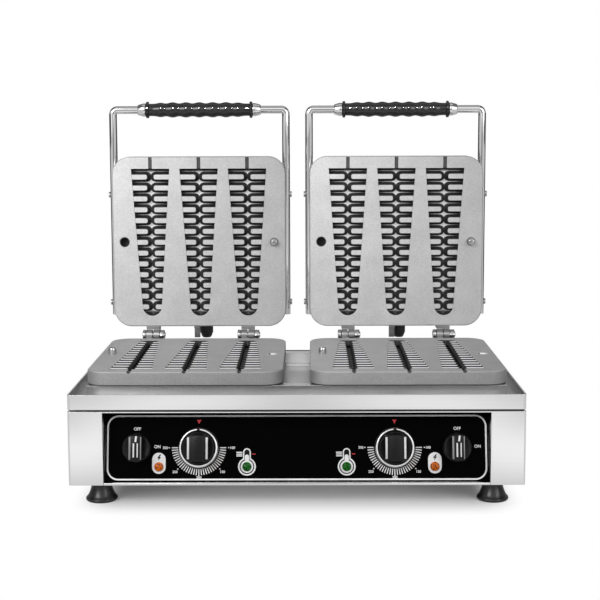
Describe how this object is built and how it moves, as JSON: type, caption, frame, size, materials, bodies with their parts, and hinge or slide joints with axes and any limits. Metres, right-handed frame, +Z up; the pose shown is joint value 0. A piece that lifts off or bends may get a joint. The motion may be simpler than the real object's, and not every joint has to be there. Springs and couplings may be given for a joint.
{
  "type": "waffle stick iron",
  "caption": "Double electric waffle-stick iron with hinged ribbed baking plates, bail handles, a drip tray and a sloping dial panel.",
  "frame": {"origin": "middle of the overall box on the table plane under the feet", "axes": "+X to the right as seen from the dial panel, +Y to the back, +Z up"},
  "size_m": [0.51, 0.3161, 0.4532],
  "materials": {
    "steel_sheet": "satin",
    "cast_plate": "blasted",
    "hinge_casting": "satin",
    "bright_rod": "polished",
    "steel_fastener": "satin",
    "element_tube": "matte",
    "grip_black": "gloss",
    "foot_rubber": "matte",
    "panel_black": "gloss",
    "knob_black": "gloss",
    "ring_silver": "satin",
    "lens_amber": "gloss",
    "lens_green": "gloss",
    "gland_black": "matte"
  },
  "bodies": {
    "base": {"body_shell": "steel_sheet", "bottom_cover": "steel_sheet", "feet": "foot_rubber", "foot_screws": "steel_fastener", "foot_nuts": "steel_fastener", "drip_tray": "steel_sheet", "tray_seal": "foot_rubber", "front_rail": "steel_sheet", "rear_rail": "steel_sheet", "control_panel": "panel_black", "power_switches": "gland_black", "thermostats": "gland_black", "amber_lamps": "lens_amber", "green_lamps": "lens_green", "lamp_holders": "gland_black", "terminal_block": "gland_black", "mains_gland": "gland_black", "left_lower_plate": "cast_plate", "right_lower_plate": "cast_plate", "left_lower_element": "element_tube", "right_lower_element": "element_tube", "left_lower_pan": "steel_sheet", "right_lower_pan": "steel_sheet", "lower_guide_pins": "steel_fastener", "left_fixed_hinges": "hinge_casting", "right_fixed_hinges": "hinge_casting", "hinge_pins": "steel_fastener", "hinge_nuts": "steel_fastener"},
    "left_lid": {"left_upper_plate": "cast_plate", "left_upper_element": "element_tube", "left_lid_cover": "steel_sheet", "left_upper_guide_pin": "steel_fastener", "left_bail": "bright_rod", "left_grip": "grip_black", "left_grip_collars": "bright_rod", "left_bail_bolts": "steel_fastener", "left_cover_screws": "steel_fastener", "left_lid_gland": "gland_black", "left_gland_bracket": "steel_sheet", "left_lid_hinges": "hinge_casting"},
    "right_lid": {"right_upper_plate": "cast_plate", "right_upper_element": "element_tube", "right_lid_cover": "steel_sheet", "right_upper_guide_pin": "steel_fastener", "right_bail": "bright_rod", "right_grip": "grip_black", "right_grip_collars": "bright_rod", "right_bail_bolts": "steel_fastener", "right_cover_screws": "steel_fastener", "right_lid_gland": "gland_black", "right_gland_bracket": "steel_sheet", "right_lid_hinges": "hinge_casting"},
    "left_switch": {"left_switch_knob": "knob_black"},
    "left_dial": {"left_dial_knob": "knob_black", "left_dial_ring": "ring_silver"},
    "right_switch": {"right_switch_knob": "knob_black"},
    "right_dial": {"right_dial_knob": "knob_black", "right_dial_ring": "ring_silver"}
  },
  "joints": [
    {"name": "left_lid_hinge", "type": "hinge", "parent": "base", "child": "left_lid", "pos_m": [-0.1275, 0.113, 0.15], "axis": [1, 0, 0], "range_deg": [0, 90]},
    {"name": "right_lid_hinge", "type": "hinge", "parent": "base", "child": "right_lid", "pos_m": [0.1275, 0.113, 0.15], "axis": [1, 0, 0], "range_deg": [0, 90]},
    {"name": "left_switch_turn", "type": "hinge", "parent": "base", "child": "left_switch", "pos_m": [-0.18, -0.13241, 0.06322], "axis": [0, 0.9744, -0.225], "range_deg": [0, 90]},
    {"name": "left_dial_turn", "type": "hinge", "parent": "base", "child": "left_dial", "pos_m": [-0.11, -0.13241, 0.06322], "axis": [0, 0.9744, -0.225], "range_deg": [0, 270]},
    {"name": "right_switch_turn", "type": "hinge", "parent": "base", "child": "right_switch", "pos_m": [0.18, -0.13241, 0.06322], "axis": [0, 0.9744, -0.225], "range_deg": [0, 90]},
    {"name": "right_dial_turn", "type": "hinge", "parent": "base", "child": "right_dial", "pos_m": [0.11, -0.13241, 0.06322], "axis": [0, 0.9744, -0.225], "range_deg": [0, 270]}
  ]
}
